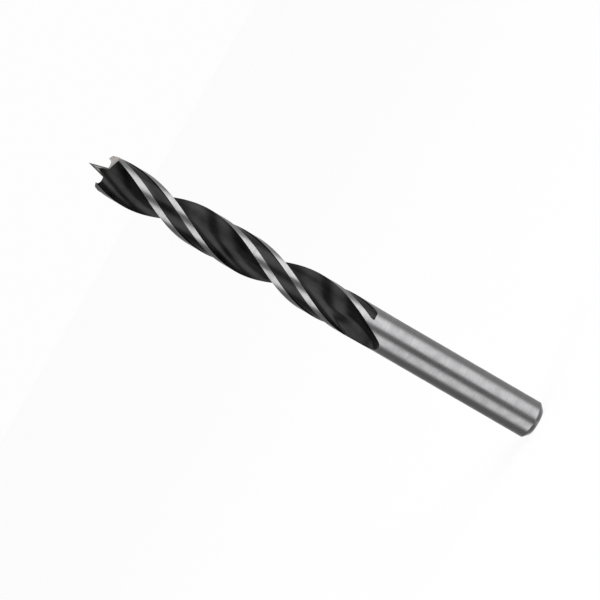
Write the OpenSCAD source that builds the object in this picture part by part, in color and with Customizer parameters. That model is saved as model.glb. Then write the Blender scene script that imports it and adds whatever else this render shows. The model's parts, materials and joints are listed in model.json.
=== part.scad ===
// Brad point twist bit for wood, in one piece of tool steel.
// The axis is Z, the brad point is up, and the origin is the middle of the shank's end face.
// Seen from the point, each lobe runs clockwise from its cutting lip: leading margin, sunk band, heel margin.

/* [Overall] */
// Length from the shank's end face to the tip of the brad point
overall_l = 127; // [118:0.5:140]
// Length from the tip of the brad point to the end of the flutes
flute_l = 83.4; // [76:0.2:90]

/* [Shank] */
// Diameter of the plain round shank
shank_d = 9.8; // [9:0.05:9.95]
// Width of the 45 degree chamfer at the shank's end
shank_chamfer = 1.4; // [0.6:0.1:2]
// Radius that breaks the two edges of that chamfer
chamfer_edge_r = 0.3; // [0.1:0.05:0.5]

/* [Cutting diameter] */
// Diameter over the margins, which is the size of the hole
cut_d = 10; // [10:0.05:10.6]
// Length of the slow cone between the shank and the full diameter
neck_l = 9; // [4:0.5:14]

/* [Flutes] */
// Advance of the helix in one turn, right handed
pitch = 63; // [50:0.5:80]
// Angle across the mouth of a flute, from lip corner to heel corner
flute_a = 106.5; // [98:0.5:110]
// Part of that angle between the lip corner and the deepest line of the flute
rake_a = 40; // [36:0.5:46]
// Half the thickness of the web between the flutes at the point
web_tip_r = 0.75; // [0.6:0.05:1]
// Half the thickness of the web where the flutes start to run out
web_root_r = 1.4; // [1:0.05:1.6]
// Length over which the floor of a flute rises to the surface
runout_l = 10; // [6:0.5:14]
// Angle from the heel corner back to where a flute reaches furthest toward the shank
runout_heel_a = 21; // [12:1:30]
// How much earlier than there a flute ends at its heel corner
runout_round = 3; // [1:0.25:5]
// How much earlier than there a flute ends at its lip corner
runout_back = 8; // [4:0.5:12]

/* [Margins] */
// Angle of the leading margin, behind the lip corner
lead_margin_a = 17.5; // [12:0.5:22]
// Angle of the sunk band between the two margins
band_a = 36.5; // [28:0.5:40]
// Depth of the sunk band below the margins
band_depth = 0.25; // [0.15:0.05:0.5]
// Distance from the end of the flutes back to the end of the sunk band
band_short = 4; // [2:0.5:8]
// Length over which the sunk band rises to the surface
band_runout_l = 1.6; // [0.8:0.2:3]
// How much earlier a sunk band ends along its edges than along its middle
band_round = 1; // [0.4:0.2:2]

/* [Point] */
// Included angle of the brad point
brad_a = 30; // [24:1:36]
// Depth of the lips' lowest place below the tip of the brad point
lip_drop = 4.65; // [4:0.05:5.5]
// Distance of the lips' lowest place from the axis
lip_low_r = 1.5; // [1.2:0.05:2]
// Radius of the hollow grind of a lip, which leaves a spur at the rim
lip_grind_r = 7; // [6:0.25:10]
// Clearance angle behind the lips
clearance_a = 15; // [8:1:18]
// Radius that rounds the rim at the tops of the spurs
spur_round_r = 0.5; // [0.2:0.05:0.8]

/* [Hidden] */

$fn = 96;
eps = 0.01;

cut_r = cut_d / 2;
shank_r = shank_d / 2;
heel_a = flute_a - rake_a;

// Heights of the features along the axis
flute_end_z = overall_l - flute_l;
runout_z = flute_end_z + runout_l;
band_end_z = flute_end_z + band_short;
lip_low_z = overall_l - lip_drop;
spur_rise = lip_grind_r - sqrt(pow(lip_grind_r, 2) - pow(cut_r - lip_low_r, 2));
spur_z = lip_low_z + spur_rise;

// The shapes that cut stand this far proud of the blank: past its ends, their floors, and their covers
end_over = 1;
floor_over = 0.4;
cover_over = 1.8;
top_z = overall_l + end_over;
skin_r = cut_r + floor_over;
close_r = skin_r + floor_over / 4;
cover_r = cut_r + cover_over;

// How far the cone of the brad point reaches down into the web
brad_sunk = 1;

// Fineness of the swept surfaces: turn per ring, spans across a floor and a cover, rings where a floor rises
sweep_step_a = 6;
corner_step_a = 15;
wall_n = 8;
flute_cover_n = 4;
flute_rise_n = 9;
band_n = 5;
band_cover_n = 3;
band_rise_n = 3;

// How squarely the end of a flute or band is cut across: higher keeps it straight nearer to its edges
end_power = 8;

// Direction of the first lip's corner at height z
function turn(z) = 360 * (z - spur_z) / pitch;

// Half the web at height z, thin at the point and thicker toward the shank
function web_r(z) =
    let (t = (top_z - z) / (top_z - runout_z))
    web_tip_r + (web_root_r - web_tip_r) * max(0, min(1, t));

// Radius of the arc that leaves a web circle of radius w smoothly and meets the rim at angle a.
// It is negative where the wall has to bulge to get there.
function wall_r(w, a) =
    (pow(cut_r, 2) + w * w - 2 * cut_r * w * cos(a)) / (2 * (cut_r * cos(a) - w));

// One wall of a flute as polar points [radius, angle], from just outside the rim to the web
function flute_wall(w, a) =
    let (
        r = wall_r(w, a),
        middle_x = w + r,
        turned = atan2(cut_r * sin(a) / r, (cut_r * cos(a) - middle_x) / r),
        rim = turned < 0 ? turned + 360 : turned,
        start = rim - floor_over / r * 180 / PI
    )
    [for (i = [0 : wall_n])
        let (
            b = start + (180 - start) * i / wall_n,
            x = middle_x + r * cos(b),
            y = r * sin(b)
        )
        [norm([x, y]), atan2(y, x)]];

// The section of a flute: rake wall, then heel wall, as angles from its deepest line
function flute_section(w) =
    let (
        rake = flute_wall(w, rake_a),
        heel = flute_wall(w, heel_a)
    )
    concat(
        [for (p = rake) [p[0], -p[1]]],
        [for (i = [wall_n - 1 : -1 : 0]) heel[i]]
    );

// The floor of a sunk band, as angles from its middle
function band_floor() =
    [for (i = [0 : band_n]) [cut_r - band_depth, band_a * (i / band_n - 0.5)]];

// The points that close a section above the blank, from angle hi back to angle lo
function cover(lo, hi, c) = [for (i = [0 : c - 1]) [cover_r, hi + (lo - hi) * i / (c - 1)]];

// Height where the floor of a flute starts to rise at angle a of its section. The end is blunt beside
// the heel and slopes back toward the lip.
function rise_z(a) =
    let (nose = heel_a - runout_heel_a)
    runout_z + (a > nose
        ? runout_round * pow(min(1, (a - nose) / runout_heel_a), end_power)
        : runout_back * pow(min(1, (nose - a) / (nose + rake_a)), 2));

// How far an end is drawn back at angle a of a section that spans from lo to hi
function end_round(a, lo, hi) = pow(min(1, abs((2 * a - lo - hi) / (hi - lo))), end_power);

// A polar point of a section, set at height z and turned with the helix
function placed(p, z, lead) =
    let (a = turn(z) + lead + p[1])
    [p[0] * cos(a), p[0] * sin(a), z];

// Triangles that close a ring of m floor points, followed by c cover points that run back above them
function cap_faces(m, c) =
    let (
        over = [for (i = [0 : m - 2]) floor(i * c / (m - 1))],
        cover = [for (q = [0 : c - 1]) m + c - 1 - q]
    )
    concat(
        [for (i = [0 : m - 2]) [i, i + 1, cover[over[i]]]],
        [for (i = [1 : m - 2]) if (over[i] != over[i - 1]) [i, cover[over[i]], cover[over[i - 1]]]]
    );

// Walls between rings of m floor and c cover points, the first ring at the top, with both ends closed
function ring_faces(rings, m, c) =
    let (
        n = m + c,
        last = (rings - 1) * n,
        cap = cap_faces(m, c)
    )
    concat(
        cap,
        [for (k = [0 : rings - 2], i = [0 : n - 1])
            let (j = (i + 1) % n)
            each [
                [k * n + i, (k + 1) * n + i, (k + 1) * n + j],
                [k * n + i, (k + 1) * n + j, k * n + j]
            ]],
        [for (f = cap) [last + f[2], last + f[1], last + f[0]]]
    );

// The plain round body before anything is cut into it
module blank() {
    c = shank_chamfer;
    e = chamfer_edge_r;
    t = e * tan(22.5);
    r = spur_round_r;
    rotate_extrude()
        polygon(concat(
            [[0, 0]],
            [for (a = [0 : corner_step_a : 45]) [shank_r - c - t + e * sin(a), e - e * cos(a)]],
            [for (a = [45 : corner_step_a : 90]) [shank_r - e + e * sin(a), c + t - e * cos(a)]],
            [
                [shank_r, flute_end_z],
                [cut_r, flute_end_z + neck_l]
            ],
            [for (a = [0 : corner_step_a : 90]) [cut_r - r + r * cos(a), spur_z - r + r * sin(a)]],
            [[0, spur_z]]
        ));
}

// The sharp centre that stands ahead of the lips
module brad_point() {
    h = lip_drop + brad_sunk;
    translate([0, 0, overall_l - h])
        cylinder(r1 = h * tan(brad_a / 2), r2 = 0, h = h);
}

// What the wheel takes off the end of the first lobe: a hollow lip with clearance behind it
module lip_grind() {
    reach = 3 * cut_r;
    rise = 2 * lip_drop;
    intersection() {
        translate([0, 0, lip_low_z])
            rotate([90 + clearance_a, 0, 0])
                translate([0, 0, -reach])
                    linear_extrude(2 * reach)
                        union() {
                            translate([-reach, 0])
                                square([reach + lip_low_r, rise]);
                            intersection() {
                                translate([lip_low_r, lip_grind_r])
                                    circle(lip_grind_r);
                                translate([lip_low_r - eps, 0])
                                    square([reach, rise]);
                            }
                        }
        rotate(rake_a - 90)
            translate([0, -reach, lip_low_z - rise])
                cube([reach, 2 * reach, 2 * rise]);
    }
}

// What is milled out ahead of the first lip, with the floor rising where the flute ends
module flute_cut() {
    top = cover(-rake_a, heel_a, flute_cover_n);
    floor_n = 2 * wall_n + 1;
    body_n = ceil((top_z - runout_z) / pitch * 360 / sweep_step_a);
    body = [for (k = [0 : body_n - 1])
        let (
            t = k / body_n,
            ring = concat(flute_section(web_r(top_z - (top_z - runout_z) * t)), top)
        )
        for (p = ring) placed(p, top_z - (top_z - rise_z(p[1])) * t, rake_a)];
    root = concat(flute_section(web_root_r), top);
    rise = [for (k = [0 : flute_rise_n])
        let (b = 90 * k / flute_rise_n)
        for (p = root)
            let (
                z = rise_z(p[1]) - runout_l * sin(b),
                r = p[0] >= skin_r ? p[0] : p[0] + (skin_r - p[0]) * (1 - cos(b))
            )
            placed([r, p[1]], z, rake_a)];
    close = [for (p = root)
        placed([max(p[0], close_r), p[1]], rise_z(p[1]) - runout_l - end_over, rake_a)];
    polyhedron(
        points = concat(body, rise, close),
        faces = ring_faces(body_n + flute_rise_n + 2, floor_n, flute_cover_n)
    );
}

// What is milled off between the two margins of the first lobe
module band_cut() {
    section = concat(band_floor(), cover(-band_a / 2, band_a / 2, band_cover_n));
    middle_a = -lead_margin_a - band_a / 2;
    start_z = band_end_z + band_runout_l;
    body_n = ceil((top_z - start_z) / pitch * 360 / sweep_step_a);
    body = [for (k = [0 : body_n - 1])
        let (z = top_z - (top_z - start_z - band_round) * k / body_n)
        for (p = section) placed(p, z, middle_a)];
    rise = [for (k = [0 : band_rise_n])
        let (b = 90 * k / band_rise_n)
        for (p = section)
            let (
                z = start_z + band_round * end_round(p[1], -band_a / 2, band_a / 2) - band_runout_l * sin(b),
                r = p[0] >= skin_r ? p[0] : p[0] + (skin_r - p[0]) * (1 - cos(b))
            )
            placed([r, p[1]], z, middle_a)];
    close = [for (p = section) placed([max(p[0], close_r), p[1]], band_end_z - end_over, middle_a)];
    polyhedron(
        points = concat(body, rise, close),
        faces = ring_faces(body_n + band_rise_n + 2, band_n + 1, band_cover_n)
    );
}

module drill_bit() {
    color("dimgray")
        difference() {
            union() {
                difference() {
                    blank();
                    for (a = [0, 180])
                        rotate(a)
                            lip_grind();
                }
                brad_point();
            }
            for (a = [0, 180])
                rotate(a) {
                    flute_cut();
                    band_cut();
                }
        }
}

drill_bit();
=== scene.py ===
"""Dresses the brad point bit: one piece of ground steel with flutes and bands in black oxide.

The bit is shaped as in the workshop. A round blank is turned, its lips are ground, and two flutes
and two bands are milled along the helix. Lengths in the classes are millimetres and angles degrees.
"""

import json
import logging
import math
from dataclasses import dataclass, field
from enum import Enum

import bmesh
import bpy
from mathutils import Matrix, Vector


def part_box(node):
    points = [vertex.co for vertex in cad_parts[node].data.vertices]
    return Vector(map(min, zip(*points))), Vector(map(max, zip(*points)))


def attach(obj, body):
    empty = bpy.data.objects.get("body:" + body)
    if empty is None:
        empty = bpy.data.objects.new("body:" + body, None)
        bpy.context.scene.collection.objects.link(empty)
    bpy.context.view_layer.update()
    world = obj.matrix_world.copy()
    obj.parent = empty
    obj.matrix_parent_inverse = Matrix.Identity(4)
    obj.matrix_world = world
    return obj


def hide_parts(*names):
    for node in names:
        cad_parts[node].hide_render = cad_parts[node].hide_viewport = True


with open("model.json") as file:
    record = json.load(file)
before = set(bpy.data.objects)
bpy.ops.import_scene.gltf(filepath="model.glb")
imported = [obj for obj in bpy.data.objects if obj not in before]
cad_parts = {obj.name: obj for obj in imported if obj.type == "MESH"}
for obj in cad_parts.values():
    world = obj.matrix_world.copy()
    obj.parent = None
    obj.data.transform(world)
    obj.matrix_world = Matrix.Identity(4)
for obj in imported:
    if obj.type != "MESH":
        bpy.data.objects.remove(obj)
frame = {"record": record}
log = logging.getLogger("drill_bit")

MM = 0.001
MERGE_MM = 0.00005
NODE = "drill_bit"
WHITE = (1.0, 1.0, 1.0, 1.0)
NOISE_ROUGH = 0.55
Point2 = tuple[float, float]
Triple = tuple[float, float, float]
Socket = bpy.types.NodeSocket
Inputs = dict[str | int, object]


def polar(radius: float, angle: float) -> Point2:
    """Turns a polar point into x and y.

    Args:
        radius: Distance from the axis.
        angle: Angle from +X, in degrees.

    Returns:
        The point's x and y.
    """
    return radius * math.cos(math.radians(angle)), radius * math.sin(math.radians(angle))


def add_node(tree: bpy.types.NodeTree, kind: str, inputs: Inputs | None = None,
             **settings: object) -> bpy.types.Node:
    """Adds one shader node to a tree.

    Args:
        tree: The tree of a material or the world.
        kind: The node's type, without its ShaderNode prefix.
        inputs: A value or an output socket for each named or numbered input.
        **settings: The node's own properties.

    Returns:
        The new node.
    """
    node = tree.nodes.new("ShaderNode" + kind)
    for key, value in settings.items():
        setattr(node, key, value)
    for key, value in (inputs or {}).items():
        if isinstance(value, Socket):
            tree.links.new(value, node.inputs[key])
        else:
            node.inputs[key].default_value = value
    return node


def shown_rays(tree: bpy.types.NodeTree) -> Socket:
    """Picks out the rays that show the background to the camera, in metal or through glass.

    Args:
        tree: The tree of a material or the world.

    Returns:
        1 for camera, glossy and transmission rays, and 0 for the light on the bit.
    """
    path = add_node(tree, "LightPath").outputs
    seen = add_node(tree, "Math", {0: path["Is Camera Ray"], 1: path["Is Glossy Ray"]}, operation="MAXIMUM")
    shown = add_node(tree, "Math", {0: seen.outputs[0], 1: path["Is Transmission Ray"]}, operation="MAXIMUM")
    return shown.outputs[0]


class Cut(Enum):
    """The two ways in which a tool body meets the blank."""

    AWAY = "DIFFERENCE"
    ONTO = "UNION"


@dataclass(frozen=True)
class BitSizes:
    """The driving sizes of the bit, in millimetres and degrees."""

    overall_l: float
    cut_r: float
    shank_r: float
    flute_l: float = 83.4
    shank_chamfer: float = 1.4
    chamfer_edge: float = 0.24
    neck_l: float = 9.0
    pitch: float = 63.0
    flute_a: float = 106.5
    rake_a: float = 40.0
    web_tip_r: float = 0.75
    web_root_r: float = 1.4
    runout_l: float = 10.0
    runout_heel_a: float = 21.0
    runout_round: float = 3.0
    runout_back: float = 8.0
    lead_margin_a: float = 17.5
    band_a: float = 36.5
    band_depth: float = 0.25
    band_short: float = 4.0
    band_runout_l: float = 1.6
    band_round: float = 1.0
    brad_a: float = 30.0
    brad_sunk: float = 1.0
    lip_drop: float = 4.65
    lip_low_r: float = 1.5
    lip_grind_r: float = 7.0
    clearance_a: float = 15.0
    spur_round_r: float = 0.5
    end_over: float = 1.0
    floor_over: float = 0.4
    cover_over: float = 1.8
    end_power: float = 8.0

    @property
    def heel_a(self) -> float:
        """Angle from a flute's deepest line to the heel corner."""
        return self.flute_a - self.rake_a

    @property
    def flute_end_z(self) -> float:
        """Height at which the flutes end."""
        return self.overall_l - self.flute_l

    @property
    def runout_z(self) -> float:
        """Height at which a flute's floor starts to rise."""
        return self.flute_end_z + self.runout_l

    @property
    def band_end_z(self) -> float:
        """Height at which the sunk bands end."""
        return self.flute_end_z + self.band_short

    @property
    def lip_low_z(self) -> float:
        """Height of the lips' lowest place."""
        return self.overall_l - self.lip_drop

    @property
    def spur_z(self) -> float:
        """Height of the spurs at the rim."""
        reach = self.cut_r - self.lip_low_r
        return self.lip_low_z + self.lip_grind_r - math.sqrt(self.lip_grind_r**2 - reach**2)

    @property
    def top_z(self) -> float:
        """Height at which the mills enter, clear of the point."""
        return self.overall_l + self.end_over

    @property
    def skin_r(self) -> float:
        """Radius just outside the blank, to which a rising floor runs."""
        return self.cut_r + self.floor_over

    def turn(self, z: float) -> float:
        """Gives the direction of the first lip's corner at a height.

        Args:
            z: Height above the shank's end face.

        Returns:
            The angle of the helix there, in degrees.
        """
        return 360 * (z - self.spur_z) / self.pitch

    def web_r(self, z: float) -> float:
        """Gives half the web, which thickens toward the shank.

        Args:
            z: Height above the shank's end face.

        Returns:
            The radius of the web there.
        """
        down = (self.top_z - z) / (self.top_z - self.runout_z)
        return self.web_tip_r + (self.web_root_r - self.web_tip_r) * max(0.0, min(1.0, down))


@dataclass
class Graph:
    """A material's node tree, with short ways to add and join its nodes."""

    name: str
    tree: bpy.types.NodeTree = field(init=False)
    material: bpy.types.Material = field(init=False)

    def __post_init__(self) -> None:
        """Makes the empty material."""
        self.material = bpy.data.materials.new(self.name)
        self.material.use_nodes = True
        self.tree = self.material.node_tree
        self.tree.nodes.clear()

    def add(self, kind: str, inputs: Inputs | None = None, **settings: object) -> bpy.types.Node:
        """Adds one node.

        Args:
            kind: The node's type, without its ShaderNode prefix.
            inputs: A value or an output socket for each named or numbered input.
            **settings: The node's own properties.

        Returns:
            The new node.
        """
        return add_node(self.tree, kind, inputs, **settings)

    def scaled(self, vector: Socket, scale: Triple) -> Socket:
        """Stretches a pattern's coordinates.

        Args:
            vector: The coordinates.
            scale: Cycles per metre along X, Y and Z.

        Returns:
            The stretched coordinates.
        """
        return self.add("Mapping", {"Vector": vector, "Scale": scale}).outputs["Vector"]

    def noise(self, vector: Socket, detail: float = 3.0) -> Socket:
        """Adds a noise pattern.

        Args:
            vector: Coordinates, in cycles.
            detail: Number of finer layers.

        Returns:
            The pattern, from 0 to 1.
        """
        inputs = {"Vector": vector, "Scale": 1.0, "Detail": detail, "Roughness": NOISE_ROUGH}
        return self.add("TexNoise", inputs).outputs[0]

    def span(self, value: Socket, low: float, high: float, out: Point2) -> Socket:
        """Maps a value from one span to another, held at its ends.

        Args:
            value: The value to map.
            low: Start of the span read.
            high: End of the span read.
            out: Start and end of the span written.

        Returns:
            The mapped value.
        """
        inputs = {"Value": value, "From Min": low, "From Max": high, "To Min": out[0], "To Max": out[1]}
        return self.add("MapRange", inputs).outputs["Result"]

    def blend(self, factor: Socket, first: Triple, second: Triple) -> Socket:
        """Mixes two colours.

        Args:
            factor: Share of the second colour.
            first: Colour at 0.
            second: Colour at 1.

        Returns:
            The mixed colour.
        """
        node = self.add("Mix", data_type="RGBA")
        self.tree.links.new(factor, node.inputs[0])
        node.inputs[6].default_value = (*first, 1.0)
        node.inputs[7].default_value = (*second, 1.0)
        return node.outputs[2]

    def add_up(self, first: Socket, second: Socket, share: float) -> Socket:
        """Adds a share of a second pattern to a first.

        Args:
            first: The main pattern.
            second: The pattern that is added.
            share: How much of it is added.

        Returns:
            The sum.
        """
        inputs = {0: second, 1: share, 2: first}
        return self.add("Math", inputs, operation="MULTIPLY_ADD").outputs[0]

    def levels(self, angle: Socket, stops: list[Point2]) -> Socket:
        """Looks up a brightness by an angle.

        Args:
            angle: The angle, in radians.
            stops: Angles in degrees and their levels.

        Returns:
            The level, blended between the stops.
        """
        ordered = sorted(stops)
        first, last = ordered[0][0], ordered[-1][0]
        along = self.span(angle, math.radians(first), math.radians(last), (0.0, 1.0))
        ramp = self.add("ValToRGB", {"Fac": along})
        marks = ramp.color_ramp.elements
        while len(marks) > 1:
            marks.remove(marks[-1])
        for number, (degrees, level) in enumerate(ordered):
            at = (degrees - first) / (last - first)
            mark = marks[0] if number == 0 else marks.new(at)
            mark.position = at
            mark.color = (level, level, level, 1.0)
        return ramp.outputs["Color"]

    def surface(self, shader: Socket) -> bpy.types.Material:
        """Joins the last shader to the output.

        Args:
            shader: The shader's output.

        Returns:
            The finished material.
        """
        self.add("OutputMaterial", {"Surface": shader})
        return self.material


class Finish(Enum):
    """The finishes that the bit's surfaces have."""

    GROUND_ROUND = "ground_round"
    GROUND_POINT = "ground_point"
    BLACK_OXIDE = "black_oxide"
    BLACK_BAND = "black_band"


@dataclass(frozen=True)
class GroundSteel:
    """Bright steel with fine grinding lines.

    Attributes:
        finish: Which surface it is on.
        dark: Colour in the lines and stains.
        bright: Colour between them.
        roughness: Lowest and highest roughness.
        lines: Cycles per metre of the grinding lines along X, Y and Z.
        gain: How much brighter its colour is made above the shank.
        gain_z: Heights in millimetres between which it gets brighter.
        stain_cycles: Cycles per metre of the faint stains.
        line_share: Weight of the lines beside the stains.
        tone_span: Span of the joined pattern that is spread over the colours.
        bump_share: Strength of the lines' relief.
        bump_mm: Depth of the lines.
    """

    finish: Finish
    dark: Triple
    bright: Triple
    roughness: Point2
    lines: Triple
    gain: float = 1.0
    gain_z: Point2 = (38.0, 54.0)
    stain_cycles: float = 420.0
    line_share: float = 0.6
    tone_span: Point2 = (0.55, 1.05)
    bump_share: float = 0.35
    bump_mm: float = 0.004

    def material(self) -> bpy.types.Material:
        """Builds the finish.

        Returns:
            The material.
        """
        g = Graph(self.finish.value)
        place = g.add("TexCoord").outputs["Object"]
        lines = g.noise(g.scaled(place, self.lines), detail=2.0)
        stains = g.noise(g.scaled(place, (self.stain_cycles,) * 3), detail=5.0)
        both = g.add_up(stains, lines, self.line_share)
        tone = g.span(both, *self.tone_span, (0.0, 1.0))
        bump = g.add("Bump", {"Strength": self.bump_share, "Distance": self.bump_mm * MM, "Height": lines})
        height = g.add("SeparateXYZ", {"Vector": place}).outputs["Z"]
        # The steel's colour is scaled up from 1 to gain between these heights: brighter above the shank.
        gain = g.span(height, self.gain_z[0] * MM, self.gain_z[1] * MM, (1.0, self.gain))
        steel = g.blend(tone, self.dark, self.bright)
        colour = g.add("VectorMath", {0: steel, "Scale": gain}, operation="SCALE")
        inputs = {
            "Base Color": colour.outputs["Vector"],
            "Metallic": 1.0,
            "Roughness": g.span(both, *self.tone_span, (self.roughness[1], self.roughness[0])),
            "Normal": bump.outputs["Normal"],
        }
        return g.surface(g.add("BsdfPrincipled", inputs).outputs["BSDF"])


@dataclass(frozen=True)
class BlackOxide:
    """The black that is left in the milled flutes and bands, streaked along the helix.

    Attributes:
        finish: Which surface it is on.
        pitch: Advance of the helix in one turn.
        deep: Colour of the full coating.
        worn: Colour where it is thinner.
        roughness: Roughness of the full and of the thinner coating.
        specular: Strength of their reflections.
        streak_cycles: Cycles per metre of the streaks across the helix.
        along_cycles: Cycles per metre of the streaks along it.
        cloud_cycles: Cycles per metre of the soft clouds.
        streak_share: Weight of the streaks beside the clouds.
        tone_span: Span of the joined pattern that is spread over the colours.
        bump_share: Strength of the streaks' relief.
        bump_mm: Depth of the streaks.
    """

    finish: Finish
    pitch: float
    deep: Triple = (0.0015, 0.0015, 0.0018)
    worn: Triple = (0.006, 0.006, 0.0067)
    roughness: Point2 = (0.2, 0.34)
    specular: Point2 = (0.5, 1.0)
    streak_cycles: float = 620.0
    along_cycles: float = 26.0
    cloud_cycles: float = 150.0
    streak_share: float = 0.7
    tone_span: Point2 = (0.65, 1.1)
    bump_share: float = 0.3
    bump_mm: float = 0.006

    def material(self) -> bpy.types.Material:
        """Builds the finish.

        Returns:
            The material.
        """
        g = Graph(self.finish.value)
        place = g.add("TexCoord").outputs["Object"]
        height = g.add("SeparateXYZ", {"Vector": place}).outputs["Z"]
        per_metre = -2 * math.pi / (self.pitch * MM)
        turn = g.add("Math", {0: height, 1: per_metre}, operation="MULTIPLY").outputs[0]
        unwound = g.add("VectorRotate", {"Vector": place, "Angle": turn}, rotation_type="Z_AXIS")
        cycles = (self.streak_cycles, self.streak_cycles, self.along_cycles)
        streaks = g.noise(g.scaled(unwound.outputs["Vector"], cycles))
        clouds = g.noise(g.scaled(place, (self.cloud_cycles,) * 3), detail=4.0)
        both = g.add_up(clouds, streaks, self.streak_share)
        tone = g.span(both, *self.tone_span, (0.0, 1.0))
        relief = {"Strength": self.bump_share, "Distance": self.bump_mm * MM, "Height": streaks}
        bump = g.add("Bump", relief)
        inputs = {
            "Base Color": g.blend(tone, self.deep, self.worn),
            "Metallic": 0.0,
            "Roughness": g.span(both, *self.tone_span, self.roughness),
            "Specular IOR Level": g.span(both, *self.tone_span, self.specular),
            "Normal": bump.outputs["Normal"],
        }
        return g.surface(g.add("BsdfPrincipled", inputs).outputs["BSDF"])


def to_object(mesh: bmesh.types.BMesh, name: str, material: bpy.types.Material) -> bpy.types.Object:
    """Puts a bmesh into the scene as an object at the origin.

    Args:
        mesh: The mesh, which is freed.
        name: The object's name.
        material: Its material.

    Returns:
        The new object.
    """
    bmesh.ops.recalc_face_normals(mesh, faces=mesh.faces[:])
    if mesh.calc_volume(signed=True) < 0:
        bmesh.ops.reverse_faces(mesh, faces=mesh.faces[:])
    data = bpy.data.meshes.new(name)
    mesh.to_mesh(data)
    mesh.free()
    piece = bpy.data.objects.new(name, data)
    bpy.context.scene.collection.objects.link(piece)
    data.materials.append(material)
    return piece


def work(piece: bpy.types.Object, tool: bpy.types.Object, cut: Cut) -> None:
    """Cuts a tool body away from a piece or adds it, and removes the tool.

    The faces that the tool leaves keep the tool's finish.

    Args:
        piece: The piece that is worked.
        tool: The tool body.
        cut: Whether it goes away or is added.
    """
    step = piece.modifiers.new(tool.name, "BOOLEAN")
    step.operation = cut.value
    step.solver = "EXACT"
    step.material_mode = "TRANSFER"
    step.object = tool
    bpy.context.view_layer.update()
    worked = bpy.data.meshes.new_from_object(piece.evaluated_get(bpy.context.evaluated_depsgraph_get()))
    piece.modifiers.clear()
    old = piece.data
    piece.data = worked
    bpy.data.meshes.remove(old)
    bpy.data.objects.remove(tool)


@dataclass
class Blank:
    """The plain round body before anything is cut into it."""

    sizes: BitSizes
    finish: bpy.types.Material
    segments: int = 256
    spur_steps: int = 6
    edge_steps: int = 3

    def build(self) -> bpy.types.Object:
        """Turns the blank from its outline and rounds its circular edges.

        Returns:
            The blank.
        """
        s = self.sizes
        outline = [
            (0.0, 0.0),
            (s.shank_r - s.shank_chamfer, 0.0),
            (s.shank_r, s.shank_chamfer),
            (s.shank_r, s.flute_end_z),
            (s.cut_r, s.flute_end_z + s.neck_l),
            (s.cut_r, s.spur_z),
            (0.0, s.spur_z),
        ]
        mesh = bmesh.new()
        corners = [mesh.verts.new((radius, 0.0, z)) for radius, z in outline]
        edges = [mesh.edges.new(pair) for pair in zip(corners, corners[1:])]
        bmesh.ops.spin(mesh, geom=corners + edges, cent=(0, 0, 0), axis=(0, 0, 1), angle=2 * math.pi,
                       steps=self.segments, use_merge=True)
        bmesh.ops.remove_doubles(mesh, verts=mesh.verts[:], dist=MERGE_MM)
        self._round(mesh, s.cut_r, s.spur_z, s.spur_round_r, self.spur_steps)
        self._round(mesh, s.shank_r, s.shank_chamfer, s.chamfer_edge, self.edge_steps)
        self._round(mesh, s.shank_r - s.shank_chamfer, 0.0, s.chamfer_edge, self.edge_steps)
        return to_object(mesh, "blank", self.finish)

    def _round(self, mesh: bmesh.types.BMesh, radius: float, z: float, width: float,
               segments: int) -> None:
        """Rounds the circular edge at one corner of the outline.

        Args:
            mesh: The turned blank.
            radius: The edge's distance from the axis.
            z: The edge's height.
            width: Width of the rounding on either side.
            segments: Number of faces across it.
        """
        def on_edge(vert: bmesh.types.BMVert) -> bool:
            """Tells whether a vertex is on that circle."""
            return abs(vert.co.z - z) < MERGE_MM and abs(vert.co.to_2d().length - radius) < MERGE_MM

        ring = [edge for edge in mesh.edges if all(on_edge(vert) for vert in edge.verts)]
        bmesh.ops.bevel(mesh, geom=ring, offset=width, offset_type="OFFSET", affect="EDGES",
                        segments=segments, profile=0.5, material=-1, clamp_overlap=True)


@dataclass
class BradPoint:
    """The sharp centre that stands ahead of the lips."""

    sizes: BitSizes
    finish: bpy.types.Material
    segments: int = 128

    def build(self) -> bpy.types.Object:
        """Makes the cone, with its foot sunk in the web.

        Returns:
            The cone.
        """
        s = self.sizes
        height = s.lip_drop + s.brad_sunk
        foot_r = height * math.tan(math.radians(s.brad_a / 2))
        mesh = bmesh.new()
        bmesh.ops.create_cone(mesh, cap_ends=True, segments=self.segments, radius1=foot_r, radius2=0.0,
                              depth=height)
        bmesh.ops.remove_doubles(mesh, verts=mesh.verts[:], dist=MERGE_MM)
        bmesh.ops.translate(mesh, verts=mesh.verts[:], vec=(0, 0, s.overall_l - height / 2))
        return to_object(mesh, "brad_point", self.finish)


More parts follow.
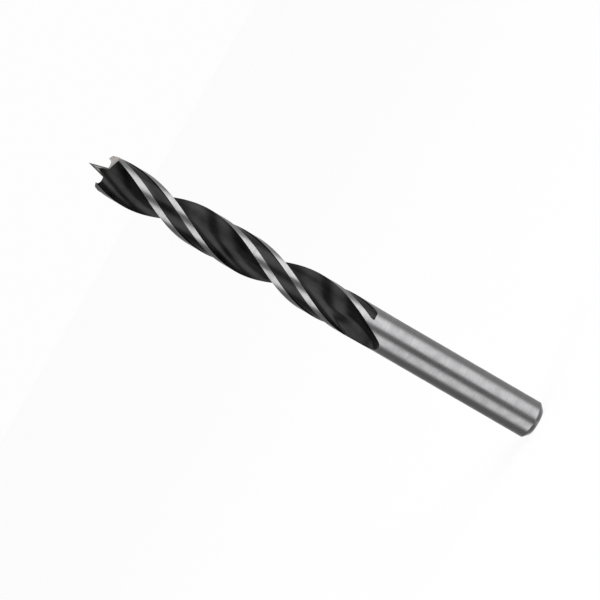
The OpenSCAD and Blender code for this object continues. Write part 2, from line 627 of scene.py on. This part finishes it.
@dataclass
class LipGrind:
    """What the wheel takes off the end of one lobe: a hollow lip with clearance behind it."""

    sizes: BitSizes
    finish: bpy.types.Material
    lobe_turn: float
    arc_a: float = 60.0
    arc_steps: int = 40
    overlap: float = 0.002

    def build(self) -> bpy.types.Object:
        """Draws the wheel's path, extrudes it along the lip and trims it at the axis.

        Returns:
            The tool body.
        """
        s = self.sizes
        reach = 3 * s.cut_r
        rise = 2 * s.lip_drop
        mesh = bmesh.new()
        low = mesh.verts.new((s.lip_low_r, 0, 0))
        arc = bmesh.ops.spin(mesh, geom=[low], cent=(s.lip_low_r, s.lip_grind_r, 0), axis=(0, 0, 1),
                             angle=math.radians(self.arc_a), steps=self.arc_steps)
        arc_end = next(item for item in arc["geom_last"] if isinstance(item, bmesh.types.BMVert))
        back = [(arc_end.co.x, rise), (-reach, rise), (-reach, 0.0)]
        chain = [arc_end] + [mesh.verts.new((x, y, 0)) for x, y in back] + [low]
        for pair in zip(chain, chain[1:]):
            mesh.edges.new(pair)
        bmesh.ops.contextual_create(mesh, geom=mesh.edges[:])
        swept = bmesh.ops.extrude_face_region(mesh, geom=mesh.faces[:])
        moved = [item for item in swept["geom"] if isinstance(item, bmesh.types.BMVert)]
        bmesh.ops.translate(mesh, verts=moved, vec=(0, 0, 2 * reach))
        place = (Matrix.Rotation(math.radians(self.lobe_turn), 4, "Z")
                 @ Matrix.Translation((0, 0, s.lip_low_z))
                 @ Matrix.Rotation(math.radians(90 + s.clearance_a), 4, "X")
                 @ Matrix.Translation((0, 0, -reach)))
        bmesh.ops.transform(mesh, matrix=place, verts=mesh.verts[:])
        side = Vector((*polar(1.0, self.lobe_turn + s.rake_a - 90), 0.0))
        trimmed = bmesh.ops.bisect_plane(mesh, geom=mesh.verts[:] + mesh.edges[:] + mesh.faces[:],
                                         plane_co=side * -self.overlap, plane_no=side, clear_inner=True)
        rim = [item for item in trimmed["geom_cut"] if isinstance(item, bmesh.types.BMEdge)]
        bmesh.ops.holes_fill(mesh, edges=rim, sides=0)
        return to_object(mesh, "lip_grind", self.finish)


@dataclass
class HelixMill:
    """A tool body that runs down the helix and rises out of the blank at its end.

    A station is a place on the section: from -1 to 1 across the floor, and from 2 to 3 back over
    the cover, which lies outside the blank.
    """

    sizes: BitSizes
    finish: bpy.types.Material
    lobe_turn: float
    name: str = "mill"
    floor_steps: int = 24
    cover_steps: int = 12
    step_a: float = 3.0
    rise_steps: int = 24
    cover_station: float = 2.0

    def span(self) -> Point2:
        """Gives the section's lowest and highest angle."""
        raise NotImplementedError

    def lead(self) -> float:
        """Gives the angle of the section's middle line from the lip's corner."""
        raise NotImplementedError

    def start_z(self) -> float:
        """Gives the height where the floor starts to rise, where it reaches furthest."""
        raise NotImplementedError

    def rise_l(self) -> float:
        """Gives the length over which the floor rises to the surface."""
        raise NotImplementedError

    def drawn_back(self, angle: float) -> float:
        """Gives how much earlier the floor rises at an angle of the section."""
        raise NotImplementedError

    def floor_point(self, station: float, z: float) -> Point2:
        """Gives the floor's radius and angle at a station and height."""
        raise NotImplementedError

    def _section(self, mesh: bmesh.types.BMesh, layer: bmesh.types.BMLayerItem) -> bmesh.types.BMFace:
        """Draws the section as one flat face whose vertices know their stations.

        Args:
            mesh: The mesh to draw in.
            layer: The vertex layer that holds the stations.

        Returns:
            The face.
        """
        stations = [k / self.floor_steps - 1 for k in range(2 * self.floor_steps + 1)]
        stations += [self.cover_station + k / self.cover_steps for k in range(self.cover_steps + 1)]
        ring = bmesh.ops.create_circle(mesh, cap_ends=True, segments=len(stations), radius=self.sizes.cut_r)
        for vert, station in zip(ring["verts"], stations):
            vert[layer] = station
        mesh.faces.ensure_lookup_table()
        return mesh.faces[0]

    def _settle(self, mesh: bmesh.types.BMesh, layer: bmesh.types.BMLayerItem) -> None:
        """Lays each swept vertex on its station of the section at its own height.

        Args:
            mesh: The swept mesh.
            layer: The vertex layer that holds the stations.
        """
        s = self.sizes
        body_steps = self._body_steps()
        for vert in mesh.verts:
            ring = round(-vert.co.z)
            down = min(1.0, ring / body_steps)
            radius, angle = self._point(vert[layer], s.top_z - (s.top_z - self.start_z()) * down)
            lift = min(1.0, max(0.0, (ring - body_steps) / self.rise_steps)) * math.pi / 2
            column_z = self.start_z() + self.drawn_back(angle)
            z = s.top_z - (s.top_z - column_z) * down - self.rise_l() * math.sin(lift)
            if radius < s.skin_r:
                radius += (s.skin_r - radius) * (1 - math.cos(lift))
            if ring > body_steps + self.rise_steps:
                z -= s.end_over
                radius = max(radius, s.skin_r + s.floor_over / 4)
            x, y = polar(radius, angle + s.turn(z) + self.lead() + self.lobe_turn)
            vert.co = (x, y, z)

    def _point(self, station: float, z: float) -> Point2:
        """Gives a place on the section.

        Args:
            station: Place on the floor or the cover.
            z: Height, which sets the web.

        Returns:
            Radius, and angle from the section's middle line.
        """
        low, high = self.span()
        if station < self.cover_station:
            return self.floor_point(station, z)
        return self.sizes.cut_r + self.sizes.cover_over, high + (low - high) * (station - self.cover_station)

    def _body_steps(self) -> int:
        """Gives the number of rings down to where the floor rises."""
        s = self.sizes
        return math.ceil((s.top_z - self.start_z()) / s.pitch * 360 / self.step_a)

    def build(self) -> bpy.types.Object:
        """Sweeps the section down the helix with one spin.

        Returns:
            The tool body.
        """
        mesh = bmesh.new()
        layer = mesh.verts.layers.float.new("station")
        self._section(mesh, layer)
        steps = self._body_steps() + self.rise_steps + 1
        section = mesh.verts[:] + mesh.edges[:] + mesh.faces[:]
        bmesh.ops.spin(mesh, geom=section, cent=(0, 0, 0), axis=(0, 0, 1), dvec=(0, 0, -1),
                       angle=math.radians(-self.step_a * steps), steps=steps)
        self._settle(mesh, layer)
        return to_object(mesh, self.name, self.finish)


@dataclass
class FluteMill(HelixMill):
    """What is milled out ahead of one lip."""

    name: str = "flute_mill"

    def span(self) -> Point2:
        """Gives the section's lowest and highest angle."""
        return -self.sizes.rake_a, self.sizes.heel_a

    def lead(self) -> float:
        """Gives the angle of the deepest line from the lip's corner."""
        return self.sizes.rake_a

    def start_z(self) -> float:
        """Gives the height where the floor starts to rise, where it reaches furthest."""
        return self.sizes.runout_z

    def rise_l(self) -> float:
        """Gives the length over which the floor rises to the surface."""
        return self.sizes.runout_l

    def drawn_back(self, angle: float) -> float:
        """Gives how much earlier the floor rises: blunt beside the heel, sloping back to the lip.

        Args:
            angle: Angle from the deepest line.

        Returns:
            The distance toward the point, in millimetres.
        """
        s = self.sizes
        nose = s.heel_a - s.runout_heel_a
        if angle > nose:
            return s.runout_round * min(1.0, (angle - nose) / s.runout_heel_a) ** s.end_power
        return s.runout_back * min(1.0, (nose - angle) / (nose + s.rake_a)) ** 2

    def floor_point(self, station: float, z: float) -> Point2:
        """Gives a wall's radius and angle: an arc that leaves the web smoothly and meets the rim.

        Args:
            station: Place on the floor, negative on the rake wall and positive on the heel wall.
            z: Height, which sets the web.

        Returns:
            Radius, and angle from the deepest line.
        """
        s = self.sizes
        web = s.web_r(z)
        mouth = math.radians(s.rake_a if station < 0 else s.heel_a)
        corner_gap_square = s.cut_r**2 + web**2 - 2 * s.cut_r * web * math.cos(mouth)
        wall_r = corner_gap_square / (2 * (s.cut_r * math.cos(mouth) - web))
        middle = web + wall_r
        rim = math.atan2(s.cut_r * math.sin(mouth), s.cut_r * math.cos(mouth) - middle)
        start = rim - s.floor_over / wall_r
        bend = math.pi + (start - math.pi) * abs(station)
        x = middle + wall_r * math.cos(bend)
        y = math.copysign(wall_r * math.sin(bend), station)
        return math.hypot(x, y), math.degrees(math.atan2(y, x))


@dataclass
class BandMill(HelixMill):
    """What is milled off between the two margins of one lobe."""

    name: str = "band_mill"
    floor_steps: int = 8
    rise_steps: int = 12

    def span(self) -> Point2:
        """Gives the section's lowest and highest angle."""
        return -self.sizes.band_a / 2, self.sizes.band_a / 2

    def lead(self) -> float:
        """Gives the angle of the band's middle line from the lip's corner."""
        return -self.sizes.lead_margin_a - self.sizes.band_a / 2

    def start_z(self) -> float:
        """Gives the height where the floor starts to rise, where it reaches furthest."""
        return self.sizes.band_end_z + self.sizes.band_runout_l

    def rise_l(self) -> float:
        """Gives the length over which the floor rises to the surface."""
        return self.sizes.band_runout_l

    def drawn_back(self, angle: float) -> float:
        """Gives how much earlier the floor rises, most at the band's edges.

        Args:
            angle: Angle from the band's middle line.

        Returns:
            The distance toward the point, in millimetres.
        """
        s = self.sizes
        return s.band_round * min(1.0, abs(2 * angle / s.band_a)) ** s.end_power

    def floor_point(self, station: float, z: float) -> Point2:
        """Gives the floor's radius, which is the same all over, and its angle at a station."""
        return self.sizes.cut_r - self.sizes.band_depth, self.sizes.band_a / 2 * station


@dataclass
class DrillBit:
    """The whole bit, worked from its blank."""

    sizes: BitSizes
    sharp_a: float = 24.0

    def _finishes(self) -> dict[Finish, bpy.types.Material]:
        """Makes the finishes.

        Returns:
            A material for each finish.
        """
        finishes = [
            GroundSteel(Finish.GROUND_ROUND, dark=(0.5, 0.5, 0.51), bright=(0.65, 0.65, 0.66),
                        roughness=(0.2, 0.32), lines=(90, 90, 5200), gain=1.22),
            GroundSteel(Finish.GROUND_POINT, dark=(0.42, 0.4, 0.39), bright=(0.58, 0.56, 0.54),
                        roughness=(0.26, 0.4), lines=(5200, 120, 120)),
            BlackOxide(Finish.BLACK_OXIDE, self.sizes.pitch),
            BlackOxide(Finish.BLACK_BAND, self.sizes.pitch),
        ]
        return {finish.finish: finish.material() for finish in finishes}

    def build(self) -> bpy.types.Object:
        """Works the blank in the order of the workshop.

        Returns:
            The finished bit, in metres.
        """
        s = self.sizes
        finishes = self._finishes()
        bit = Blank(s, finishes[Finish.GROUND_ROUND]).build()
        report(bit, "turned")
        lobes = (0.0, 180.0)
        for lobe in lobes:
            work(bit, LipGrind(s, finishes[Finish.GROUND_POINT], lobe).build(), Cut.AWAY)
        work(bit, BradPoint(s, finishes[Finish.GROUND_POINT]).build(), Cut.ONTO)
        report(bit, "ground at the point")
        for lobe in lobes:
            work(bit, FluteMill(s, finishes[Finish.BLACK_OXIDE], lobe).build(), Cut.AWAY)
            work(bit, BandMill(s, finishes[Finish.BLACK_BAND], lobe).build(), Cut.AWAY)
        self._finish_mesh(bit)
        report(bit, "milled")
        return bit

    def _finish_mesh(self, bit: bpy.types.Object) -> None:
        """Cleans the mesh, sets it in metres and shades it smooth up to its sharp edges.

        Args:
            bit: The worked bit, still in millimetres.
        """
        bit.name = "twist_bit"
        bit.data.name = "twist_bit"
        mesh = bmesh.new()
        mesh.from_mesh(bit.data)
        bmesh.ops.remove_doubles(mesh, verts=mesh.verts[:], dist=MERGE_MM)
        bmesh.ops.dissolve_degenerate(mesh, edges=mesh.edges[:], dist=MERGE_MM)
        bmesh.ops.scale(mesh, vec=(MM, MM, MM), verts=mesh.verts[:])
        for face in mesh.faces:
            face.smooth = True
        mesh.to_mesh(bit.data)
        mesh.free()
        bit.data.set_sharp_from_angle(angle=math.radians(self.sharp_a))


def report(piece: bpy.types.Object, state: str) -> None:
    """Logs a piece's state and number of faces.

    Args:
        piece: The piece.
        state: What has been done to it.
    """
    log.info("%s: %s, %d faces", piece.name, state, len(piece.data.polygons))


@dataclass
class PhotoCamera:
    """A camera that looks at the standing bit from the side, rolled until the bit lies on the slant.

    Lengths are millimetres.
    """

    bearing_a: float = 40.0
    rise_a: float = 5.75
    distance: float = 632.0
    aim_z: float = 65.8
    aim_aside: float = 3.07
    slant: Point2 = (-0.8648, 0.5021)
    lens: float = 155.34
    sensor: float = 36.0
    nearest: float = 10.0

    def build(self) -> None:
        """Places the camera and makes it the scene's own."""
        toward = Vector((*polar(1.0, self.bearing_a), 0.0))
        right = Vector((0, 0, 1)).cross(toward)
        back = (toward * math.cos(math.radians(self.rise_a))
                + Vector((0, 0, math.sin(math.radians(self.rise_a)))))
        up = back.cross(right)
        image_x = right * self.slant[1] + up * self.slant[0]
        image_y = up * self.slant[1] - right * self.slant[0]
        aim = Vector((0, 0, self.aim_z)) - right * self.aim_aside
        place = Matrix.Translation((aim + back * self.distance) * MM)
        turn = Matrix((image_x, image_y, back)).transposed().to_4x4()
        data = bpy.data.cameras.new("photo_camera")
        data.lens = self.lens
        data.sensor_width = self.sensor
        data.clip_start = self.nearest * MM
        camera = bpy.data.objects.new("photo_camera", data)
        bpy.context.scene.collection.objects.link(camera)
        camera.matrix_world = place @ turn
        bpy.context.scene.camera = camera


@dataclass(frozen=True)
class Stop:
    """The brightness of the tent in one direction.

    Attributes:
        angle: Bearing from the camera, positive towards the picture's lower left, or angle above level.
        level: Brightness, where 1 is white.
    """

    angle: float
    level: float


@dataclass
class Studio:
    """A white room with a pale floor, soft lamps, and a tent of light and dark strips for the steel."""

    camera_bearing_a: float
    room_light: float = 0.75
    room_seen: float = 0.985
    floor_colour: Triple = (0.9, 0.9, 0.9)
    floor_roughness: float = 0.85
    floor_specular: float = 0.1
    floor_radius: float = 4.0
    floor_glow: float = 0.9
    grain_cycles: float = 900.0
    grain_share: float = 0.05
    grain_mm: float = 0.1
    tent_radius: float = 3.0
    tent_strips: tuple[Stop, ...] = (
        Stop(-180, 1.0), Stop(-168, 0.9), Stop(-154, 0.34), Stop(-118, 0.28), Stop(-92, 0.25), Stop(-79, 0.6),
        Stop(-70, 0.92), Stop(-45, 1.0), Stop(-22, 0.86), Stop(-13, 0.12), Stop(14, 0.13),
        Stop(22, 0.6), Stop(32, 0.88), Stop(60, 0.85), Stop(72, 0.4), Stop(82, 0.12),
        Stop(128, 0.16), Stop(154, 0.3), Stop(168, 0.9), Stop(180, 1.0),
    )
    tent_belts: tuple[Stop, ...] = (
        Stop(-90, 0.36), Stop(-80, 0.4), Stop(-66, 0.7), Stop(-50, 0.85), Stop(-30, 1.0), Stop(6, 1.0),
        Stop(20, 0.4), Stop(27, 0.45), Stop(34, 1.0), Stop(90, 1.0),
    )

    def build(self) -> None:
        """Builds the room, the floor, the tent and the lamps."""
        self._world()
        self._floor()
        self._tent()
        self._lamp("soft_box_right", bearing=-50.0, rise=38.0, distance=1.1, size=0.7, watts=6.0)
        self._lamp("soft_box_left", bearing=55.0, rise=30.0, distance=1.2, size=0.8, watts=3.5)

    def _world(self) -> None:
        """Makes the room white to the camera and in reflections, and plain soft light elsewhere."""
        world = bpy.data.worlds.new("white_room")
        world.use_nodes = True
        tree = world.node_tree
        tree.nodes.clear()
        span = {"Value": shown_rays(tree), "To Min": self.room_light, "To Max": self.room_seen}
        level = add_node(tree, "MapRange", span)
        light = add_node(tree, "Background", {"Color": WHITE, "Strength": level.outputs["Result"]})
        add_node(tree, "OutputWorld", {"Surface": light.outputs[0]})
        bpy.context.scene.world = world

    def _floor(self) -> None:
        """Lays the pale floor, which is white to the camera but keeps the bit's shadow."""
        mesh = bmesh.new()
        bmesh.ops.create_circle(mesh, cap_ends=True, segments=96, radius=self.floor_radius)
        g = Graph("floor_white")
        place = g.add("TexCoord").outputs["Object"]
        grain = g.noise(g.scaled(place, (self.grain_cycles,) * 3))
        bump = g.add("Bump", {"Strength": self.grain_share, "Distance": self.grain_mm * MM, "Height": grain})
        paint = g.add("BsdfPrincipled", {
            "Base Color": (*self.floor_colour, 1.0),
            "Roughness": self.floor_roughness,
            "Specular IOR Level": self.floor_specular,
            "Normal": bump.outputs["Normal"],
        })
        glow = g.add("Emission", {"Color": WHITE, "Strength": 1.0})
        share = g.add("Math", {0: shown_rays(g.tree), 1: self.floor_glow}, operation="MULTIPLY")
        mixed = g.add("MixShader", {0: share.outputs[0], 1: paint.outputs[0], 2: glow.outputs[0]})
        floor = to_object(mesh, "floor", g.surface(mixed.outputs[0]))
        floor.visible_glossy = False

    def _tent(self) -> None:
        """Hangs the tent of strips round the bit, which only the reflections see."""
        mesh = bmesh.new()
        bmesh.ops.create_uvsphere(mesh, u_segments=96, v_segments=48, radius=self.tent_radius)
        g = Graph("tent_strips")
        place = g.add("TexCoord").outputs["Object"]
        facing = g.add("VectorRotate", {"Vector": place, "Angle": -math.radians(self.camera_bearing_a)},
                       rotation_type="Z_AXIS").outputs["Vector"]
        parts = g.add("SeparateXYZ", {"Vector": facing})
        bearing = g.add("Math", {0: parts.outputs["Y"], 1: parts.outputs["X"]}, operation="ARCTAN2")
        level_part = g.scaled(facing, (1.0, 1.0, 0.0))
        across = g.add("VectorMath", {0: level_part}, operation="LENGTH")
        rise = g.add("Math", {0: parts.outputs["Z"], 1: across.outputs["Value"]}, operation="ARCTAN2")
        strips = g.levels(bearing.outputs[0], [(-stop.angle, stop.level) for stop in self.tent_strips])
        belts = g.levels(rise.outputs[0], [(stop.angle, stop.level) for stop in self.tent_belts])
        glow = g.add("Emission", {"Color": strips, "Strength": belts})
        tent = to_object(mesh, "tent", g.surface(glow.outputs[0]))
        tent.visible_camera = False
        tent.visible_diffuse = False
        tent.visible_transmission = False
        tent.visible_shadow = False

    def _lamp(self, name: str, bearing: float, rise: float, distance: float, size: float,
              watts: float) -> None:
        """Hangs one soft square lamp that faces the bit.

        Args:
            name: The lamp's name.
            bearing: Angle from the camera, positive towards the picture's lower left.
            rise: Angle above the floor.
            distance: Distance from the bit, in metres.
            size: Side of the square, in metres.
            watts: Power.
        """
        data = bpy.data.lights.new(name, "AREA")
        data.shape = "SQUARE"
        data.size = size
        data.energy = watts
        lamp = bpy.data.objects.new(name, data)
        bpy.context.scene.collection.objects.link(lamp)
        x, y = polar(math.cos(math.radians(rise)), self.camera_bearing_a - bearing)
        away = Vector((x, y, math.sin(math.radians(rise))))
        facing = away.to_track_quat("Z", "Y").to_matrix().to_4x4()
        lamp.matrix_world = Matrix.Translation(away * distance) @ facing
        lamp.visible_glossy = False
        lamp.visible_camera = False


def main() -> None:
    """Builds the bit, the camera and the studio, and dresses the frame."""
    logging.basicConfig(level=logging.INFO, format="%(name)s: %(message)s")
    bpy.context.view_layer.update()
    low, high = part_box(NODE)
    shank = next(mount for mount in frame["record"]["mounts"] if mount["name"] == "shank")
    sizes = BitSizes(overall_l=(high.z - low.z) / MM, cut_r=(high.x - low.x) / 2 / MM,
                     shank_r=shank["dims"]["r_mm"])
    bit = DrillBit(sizes).build()
    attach(bit, "root")
    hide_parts(NODE)
    camera = PhotoCamera()
    camera.build()
    Studio(camera.bearing_a).build()
    bpy.context.scene.view_settings.view_transform = "Standard"


if __name__ == "__main__":
    main()
